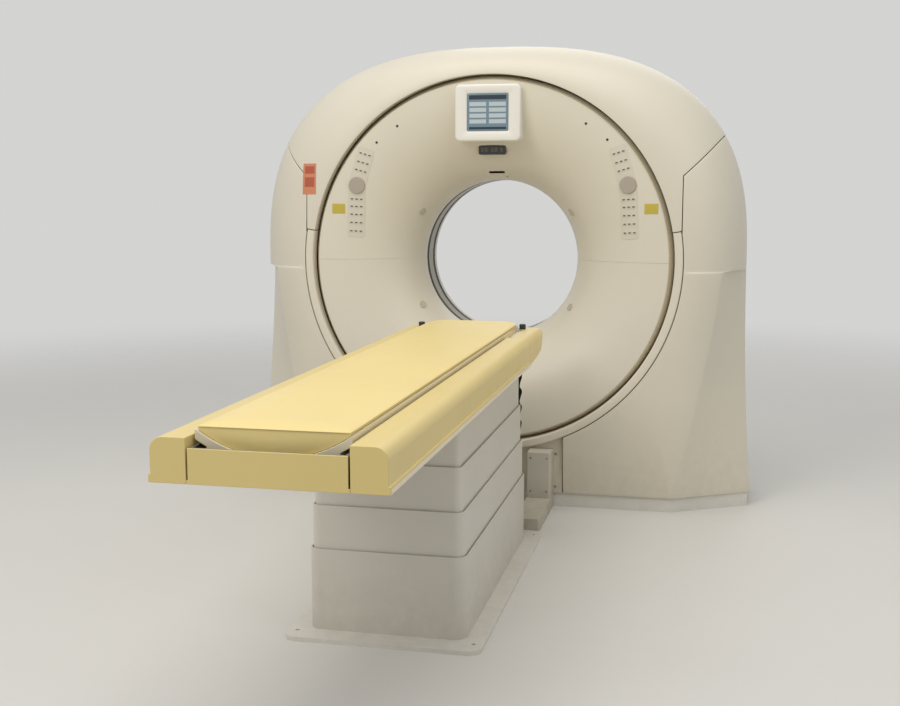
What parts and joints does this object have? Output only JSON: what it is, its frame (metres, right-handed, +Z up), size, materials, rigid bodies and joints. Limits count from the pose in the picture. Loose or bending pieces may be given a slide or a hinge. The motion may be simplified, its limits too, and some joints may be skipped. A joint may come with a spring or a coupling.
{
  "type": "computed tomography scanner",
  "caption": "Hospital CT scanner: a tilting drum with a patient bore in a moulded shell, and a lifting patient table whose cradle slides through the bore.",
  "frame": {"origin": "on the floor, on the underside of the gantry's middle foot, straight below the isocentre", "axes": "+X to the right seen from the table, +Y along the bore from the table to the gantry's rear, +Z up"},
  "size_m": [2.26, 3.447, 2],
  "materials": {
    "base_frame": "satin paint",
    "left_upright": "satin paint",
    "right_upright": "satin paint",
    "trunnion_bearings": "machined",
    "tilt_drive": "satin paint",
    "levelling_feet": "zinc plated",
    "top_front_cover": "fine texture",
    "top_rear_cover": "fine texture",
    "left_front_cover": "fine texture",
    "right_front_cover": "fine texture",
    "left_rear_cover": "fine texture",
    "right_rear_cover": "fine texture",
    "front_apron": "fine texture",
    "rear_apron": "fine texture",
    "trim_bands": "satin",
    "cover_brackets": "mill finish",
    "plinth": "satin",
    "cable_duct": "satin paint",
    "tilt_frame": "cast, machined",
    "drum_shell": "satin",
    "front_disc_upper": "satin",
    "front_disc_lower": "satin",
    "rear_disc_upper": "satin",
    "rear_disc_lower": "satin",
    "scan_window": "clear-coated film",
    "bore_seals": "glossy",
    "position_lights": "satin lens",
    "display_housing": "satin",
    "display_screen": "glossy",
    "status_display": "glossy",
    "left_keypad": "printed film",
    "right_keypad": "printed film",
    "left_jog_button": "satin",
    "right_jog_button": "satin",
    "outer_race": "ground",
    "drive_motor": "satin paint",
    "motor_pulley": "machined",
    "drive_belt": "matt",
    "brush_block": "moulded",
    "rotor": "cast, machined",
    "balance_weights": "zinc plated",
    "inner_race": "ground",
    "slip_ring": "moulded, with metal tracks",
    "xray_tube": "painted casting",
    "collimator": "machined",
    "detector": "anodised",
    "high_voltage_tanks": "satin",
    "cooling_unit": "mill finish",
    "table_base": "satin paint",
    "column_lower": "satin paint",
    "column_middle": "satin paint",
    "column_inner": "satin paint",
    "column_upper": "satin paint",
    "lift_drive": "satin paint",
    "front_bellows": "matt",
    "table_frame": "extruded and machined",
    "side_rails": "satin",
    "table_nose": "satin",
    "cradle": "satin lacquer over carbon laminate",
    "mattress": "coated fabric"
  },
  "bodies": {
    "floor_frame": {"base_frame": "base_frame", "left_upright": "left_upright", "right_upright": "right_upright", "trunnion_bearings": "trunnion_bearings", "tilt_drive": "tilt_drive", "levelling_feet": "levelling_feet", "top_front_cover": "top_front_cover", "top_rear_cover": "top_rear_cover", "left_front_cover": "left_front_cover", "right_front_cover": "right_front_cover", "left_rear_cover": "left_rear_cover", "right_rear_cover": "right_rear_cover", "front_apron": "front_apron", "rear_apron": "rear_apron", "trim_bands": "trim_bands", "cover_brackets": "cover_brackets", "plinth": "plinth", "cable_duct": "cable_duct", "table_base": "table_base", "column_lower": "column_lower", "lift_drive": "lift_drive", "front_bellows": "front_bellows"},
    "tilting_drum": {"tilt_frame": "tilt_frame", "drum_shell": "drum_shell", "front_disc_upper": "front_disc_upper", "front_disc_lower": "front_disc_lower", "rear_disc_upper": "rear_disc_upper", "rear_disc_lower": "rear_disc_lower", "scan_window": "scan_window", "bore_seals": "bore_seals", "position_lights": "position_lights", "display_housing": "display_housing", "display_screen": "display_screen", "status_display": "status_display", "left_keypad": "left_keypad", "right_keypad": "right_keypad", "outer_race": "outer_race", "drive_motor": "drive_motor", "drive_belt": "drive_belt", "brush_block": "brush_block"},
    "rotor_body": {"rotor": "rotor", "balance_weights": "balance_weights", "inner_race": "inner_race", "slip_ring": "slip_ring", "xray_tube": "xray_tube", "collimator": "collimator", "detector": "detector", "high_voltage_tanks": "high_voltage_tanks", "cooling_unit": "cooling_unit"},
    "motor_pulley_body": {"motor_pulley": "motor_pulley"},
    "left_jog_body": {"left_jog_button": "left_jog_button"},
    "right_jog_body": {"right_jog_button": "right_jog_button"},
    "column_middle_body": {"column_middle": "column_middle"},
    "column_inner_body": {"column_inner": "column_inner"},
    "table_top_body": {"column_upper": "column_upper", "table_frame": "table_frame", "side_rails": "side_rails", "table_nose": "table_nose"},
    "cradle_body": {"cradle": "cradle", "mattress": "mattress"}
  },
  "joints": [
    {"name": "gantry_tilt", "type": "hinge", "parent": "floor_frame", "child": "tilting_drum", "pos_m": [0, 0, 1.07], "axis": [1, 0, 0], "range_deg": [-30, 30]},
    {"name": "rotor_spin", "type": "hinge", "parent": "tilting_drum", "child": "rotor_body", "pos_m": [0, 0.1, 1.07], "axis": [0, 1, 0], "continuous": true},
    {"name": "motor_pulley_spin", "type": "hinge", "parent": "tilting_drum", "child": "motor_pulley_body", "pos_m": [-0.42, 0.24, 0.65], "axis": [0, 1, 0], "continuous": true},
    {"name": "left_jog_press", "type": "slide", "parent": "tilting_drum", "child": "left_jog_body", "axis": [-0.1489, 0.9854, 0.082], "range_m": [0, 0.0015], "stiffness_N_per_m": 1500, "springref_m": -0.0015},
    {"name": "right_jog_press", "type": "slide", "parent": "tilting_drum", "child": "right_jog_body", "axis": [0.1489, 0.9854, 0.082], "range_m": [0, 0.0015], "stiffness_N_per_m": 1500, "springref_m": -0.0015},
    {"name": "table_lift", "type": "slide", "parent": "floor_frame", "child": "table_top_body", "axis": [0, 0, 1], "range_m": [-0.4, 0.12], "deforming": ["front_bellows"]},
    {"name": "column_middle_slide", "type": "slide", "parent": "floor_frame", "child": "column_middle_body", "axis": [0, 0, 1], "range_m": [-0.13334, 0.04001]},
    {"name": "column_inner_slide", "type": "slide", "parent": "floor_frame", "child": "column_inner_body", "axis": [0, 0, 1], "range_m": [-0.26667, 0.08001]},
    {"name": "cradle_slide", "type": "slide", "parent": "table_top_body", "child": "cradle_body", "axis": [0, 1, 0], "range_m": [0, 1.7]}
  ],
  "couplings": [
    {"joint": "motor_pulley_spin", "follows": "rotor_spin", "ratio": 9.1},
    {"joint": "column_middle_slide", "follows": "table_lift", "ratio": 0.33333},
    {"joint": "column_inner_slide", "follows": "table_lift", "ratio": 0.66667}
  ]
}
